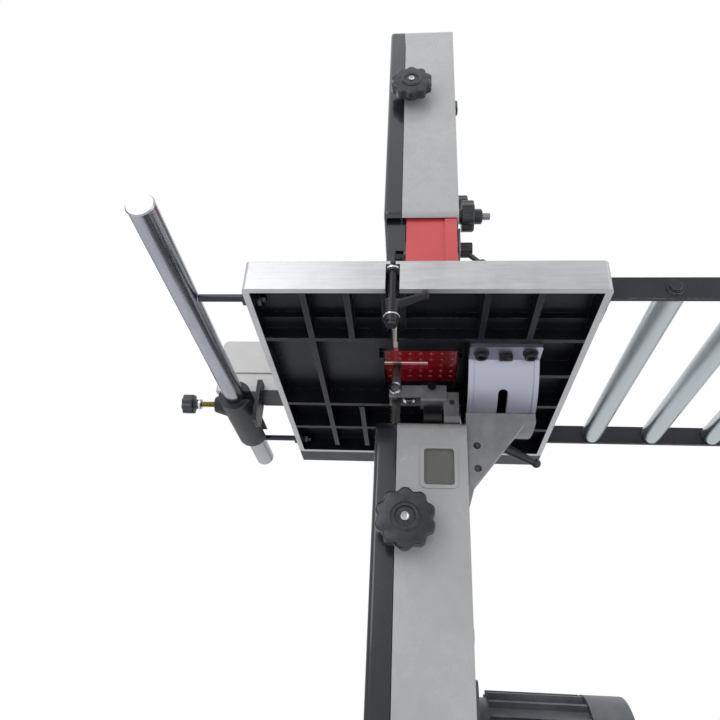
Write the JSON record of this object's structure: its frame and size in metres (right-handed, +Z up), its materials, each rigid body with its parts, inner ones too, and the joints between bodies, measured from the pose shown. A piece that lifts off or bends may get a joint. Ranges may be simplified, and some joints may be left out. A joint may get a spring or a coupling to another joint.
{
  "type": "band saw",
  "caption": "Upright woodworking band saw on a cabinet stand, with a tilting cast table, round-rail fence and roller outfeed extension.",
  "frame": {"origin": "on the floor, at the centre of the four floor bolt holes", "axes": "+Z up, -Y the front where the doors open, +X the throat side"},
  "size_m": [0.819, 0.836, 1.734],
  "materials": {
    "housing_grey": "satin grey enamel",
    "door_charcoal": "gloss charcoal enamel",
    "cabinet_paint": "fine textured charcoal enamel",
    "machined_iron": "machined top and edges, dark painted underside",
    "trunnion_paint": "light grey enamel on casting",
    "dark_casting": "dark grey enamel on casting",
    "bright_steel": "polished round bar",
    "zinc_steel": "zinc plated",
    "black_steel": "black oxide and semi-gloss black",
    "roller_steel": "satin tube",
    "red_anodised": "red anodised",
    "red_paint": "satin red enamel",
    "alloy": "satin anodised extrusion",
    "cast_alloy": "die cast",
    "black_plastic": "moulded, lightly textured",
    "port_plastic": "moulded",
    "clear_plastic": "clear sheet",
    "rubber_black": "matt",
    "button_green": "moulded",
    "button_red": "moulded",
    "blade_steel": "cold rolled strip"
  },
  "bodies": {
    "frame": {"base_plate": "cabinet_paint", "cabinet_shell": "cabinet_paint", "mounting_block": "black_steel", "lower_housing": "housing_grey", "upper_housing": "housing_grey", "spine_column": "housing_grey", "blade_cover": "door_charcoal", "door_hinges": "black_steel", "window_pane": "clear_plastic", "dust_port": "port_plastic", "frame_bolts": "zinc_steel", "lower_axle": "bright_steel", "blade": "blade_steel", "drive_belt": "rubber_black", "motor": "black_steel", "post_sleeve": "dark_casting", "lower_guide_bracket": "cast_alloy", "lower_side_guides": "zinc_steel", "trunnion_bracket": "housing_grey", "switch_box": "black_plastic", "tension_spring": "bright_steel"},
    "cabinet_door": {"cabinet_door": "cabinet_paint"},
    "lower_door": {"lower_door": "door_charcoal"},
    "upper_door": {"upper_door": "door_charcoal"},
    "lower_latch": {"lower_door_knob": "black_plastic"},
    "upper_latch": {"upper_door_knob": "black_plastic"},
    "lower_wheel": {"lower_wheel": "cast_alloy", "lower_tyre": "rubber_black"},
    "tension_slider": {"axle_slider": "dark_casting"},
    "upper_wheel": {"upper_wheel": "cast_alloy", "upper_tyre": "rubber_black"},
    "tension_screw": {"tension_handwheel": "black_plastic"},
    "tracking_screw": {"tracking_knob": "black_plastic"},
    "motor_rotor": {"motor_pulley": "cast_alloy"},
    "guide_carriage": {"guide_post": "bright_steel", "blade_guard": "red_paint", "blade_shield": "black_steel", "upper_guide_fork": "cast_alloy", "upper_side_guides": "zinc_steel"},
    "upper_thrust": {"upper_thrust_bearing": "bright_steel"},
    "lower_thrust": {"lower_thrust_bearing": "bright_steel"},
    "guide_adjuster": {"guide_adjuster": "black_plastic"},
    "post_drive": {"post_handwheel": "black_plastic"},
    "post_lock": {"post_lock": "black_plastic"},
    "table": {"table": "machined_iron", "table_insert": "red_anodised", "table_fasteners": "black_steel", "trunnion_drum": "trunnion_paint", "side_bars": "black_steel", "fence_rail": "bright_steel"},
    "slot_clamp": {"slot_clamp": "black_steel"},
    "trunnion_lock": {"trunnion_lock": "black_plastic"},
    "fence": {"fence_carrier": "dark_casting", "fence_beam": "alloy"},
    "fence_knob": {"fence_knob": "black_plastic"},
    "roller_1": {"roller_1": "roller_steel"},
    "roller_2": {"roller_2": "roller_steel"},
    "roller_3": {"roller_3": "roller_steel"},
    "start_button": {"start_button": "button_green"},
    "stop_button": {"stop_button": "button_red"}
  },
  "joints": [
    {"name": "cabinet_door_swing", "type": "hinge", "parent": "frame", "child": "cabinet_door", "pos_m": [-0.241, -0.207, 0.2], "axis": [0, 0, 1], "range_deg": [-110, 0]},
    {"name": "lower_door_swing", "type": "hinge", "parent": "frame", "child": "lower_door", "pos_m": [-0.274, -0.039, 0.65], "axis": [0, 0, 1], "range_deg": [-110, 0]},
    {"name": "upper_door_swing", "type": "hinge", "parent": "frame", "child": "upper_door", "pos_m": [-0.274, -0.039, 1.45], "axis": [0, 0, 1], "range_deg": [-110, 0]},
    {"name": "lower_latch_turn", "type": "hinge", "parent": "frame", "child": "lower_latch", "pos_m": [0.205, -0.018, 0.741], "axis": [1, 0, 0], "range_deg": [0, 90]},
    {"name": "upper_latch_turn", "type": "hinge", "parent": "frame", "child": "upper_latch", "pos_m": [0.205, -0.018, 1.5], "axis": [1, 0, 0], "range_deg": [0, 90]},
    {"name": "lower_wheel_spin", "type": "hinge", "parent": "frame", "child": "lower_wheel", "pos_m": [0, -0.0335, 0.65], "axis": [0, 1, 0], "continuous": true},
    {"name": "upper_wheel_spin", "type": "hinge", "parent": "tension_slider", "child": "upper_wheel", "pos_m": [0, -0.0335, 1.445], "axis": [0, 1, 0], "continuous": true},
    {"name": "motor_spin", "type": "hinge", "parent": "frame", "child": "motor_rotor", "pos_m": [0.05, 0, 0.51], "axis": [0, 1, 0], "continuous": true},
    {"name": "tension_slide", "type": "slide", "parent": "frame", "child": "tension_slider", "axis": [0, 0, 1], "range_m": [-0.012, 0], "deforming": ["tension_spring"]},
    {"name": "tension_screw_turn", "type": "hinge", "parent": "frame", "child": "tension_screw", "pos_m": [0, 0.03, 1.7], "axis": [0, 0, 1], "range_deg": [-1081, 0.5]},
    {"name": "tracking_turn", "type": "hinge", "parent": "tension_slider", "child": "tracking_screw", "pos_m": [0, 0.06, 1.429], "axis": [0, 1, 0], "range_deg": [-180, 180]},
    {"name": "guide_post_slide", "type": "slide", "parent": "frame", "child": "guide_carriage", "axis": [0, 0, 1], "range_m": [-0.14, 0.065]},
    {"name": "post_drive_turn", "type": "hinge", "parent": "frame", "child": "post_drive", "pos_m": [0.18, 0.06, 1.242], "axis": [0, 1, 0], "range_deg": [-802.2, 372.5]},
    {"name": "post_lock_turn", "type": "hinge", "parent": "frame", "child": "post_lock", "pos_m": [0.159, 0.06, 1.192], "axis": [0, 1, 0], "range_deg": [-60, 0]},
    {"name": "upper_thrust_spin", "type": "hinge", "parent": "guide_carriage", "child": "upper_thrust", "pos_m": [0.17565, -0.0157, 1.152], "axis": [1, 0, 0], "continuous": true},
    {"name": "lower_thrust_spin", "type": "hinge", "parent": "frame", "child": "lower_thrust", "pos_m": [0.17565, -0.0157, 0.927], "axis": [1, 0, 0], "continuous": true},
    {"name": "guide_adjuster_turn", "type": "hinge", "parent": "frame", "child": "guide_adjuster", "pos_m": [0.172, 0.016, 0.895], "axis": [0, 1, 0], "range_deg": [-180, 180]},
    {"name": "table_tilt", "type": "hinge", "parent": "frame", "child": "table", "pos_m": [0.1753, 0.1, 0.98], "axis": [0, 1, 0], "range_deg": [-10, 45]},
    {"name": "trunnion_lock_turn", "type": "hinge", "parent": "frame", "child": "trunnion_lock", "pos_m": [0.14942, 0.102, 0.88341], "axis": [-0.2588, 0, -0.9659], "range_deg": [-90, 0]},
    {"name": "slot_clamp_turn", "type": "hinge", "parent": "table", "child": "slot_clamp", "pos_m": [0.3923, -0.0335, 0.93], "axis": [0, 0, 1], "range_deg": [-70, 70]},
    {"name": "fence_slide", "type": "slide", "parent": "table", "child": "fence", "axis": [-1, 0, 0], "range_m": [-0.065, 0.09]},
    {"name": "fence_knob_turn", "type": "hinge", "parent": "fence", "child": "fence_knob", "pos_m": [0.08, -0.34, 0.956], "axis": [0, 1, 0], "range_deg": [-360, 0]},
    {"name": "start_press", "type": "slide", "parent": "frame", "child": "start_button", "axis": [0, 1, 0], "range_m": [0, 0.003], "stiffness_N_per_m": 600, "springref_m": -0.002},
    {"name": "stop_press", "type": "slide", "parent": "frame", "child": "stop_button", "axis": [0, 1, 0], "range_m": [0, 0.003], "stiffness_N_per_m": 600, "springref_m": -0.002},
    {"name": "roller_1_spin", "type": "hinge", "parent": "table", "child": "roller_1", "pos_m": [0.17, 0.275, 0.965], "axis": [1, 0, 0], "continuous": true},
    {"name": "roller_2_spin", "type": "hinge", "parent": "table", "child": "roller_2", "pos_m": [0.17, 0.367, 0.965], "axis": [1, 0, 0], "continuous": true},
    {"name": "roller_3_spin", "type": "hinge", "parent": "table", "child": "roller_3", "pos_m": [0.17, 0.459, 0.965], "axis": [1, 0, 0], "continuous": true}
  ],
  "couplings": [
    {"joint": "upper_wheel_spin", "follows": "lower_wheel_spin", "ratio": 1},
    {"joint": "motor_spin", "follows": "lower_wheel_spin", "ratio": 2.5},
    {"joint": "tension_screw_turn", "follows": "tension_slide", "rad_per_m": 1570.8},
    {"joint": "post_drive_turn", "follows": "guide_post_slide", "rad_per_m": 100}
  ]
}
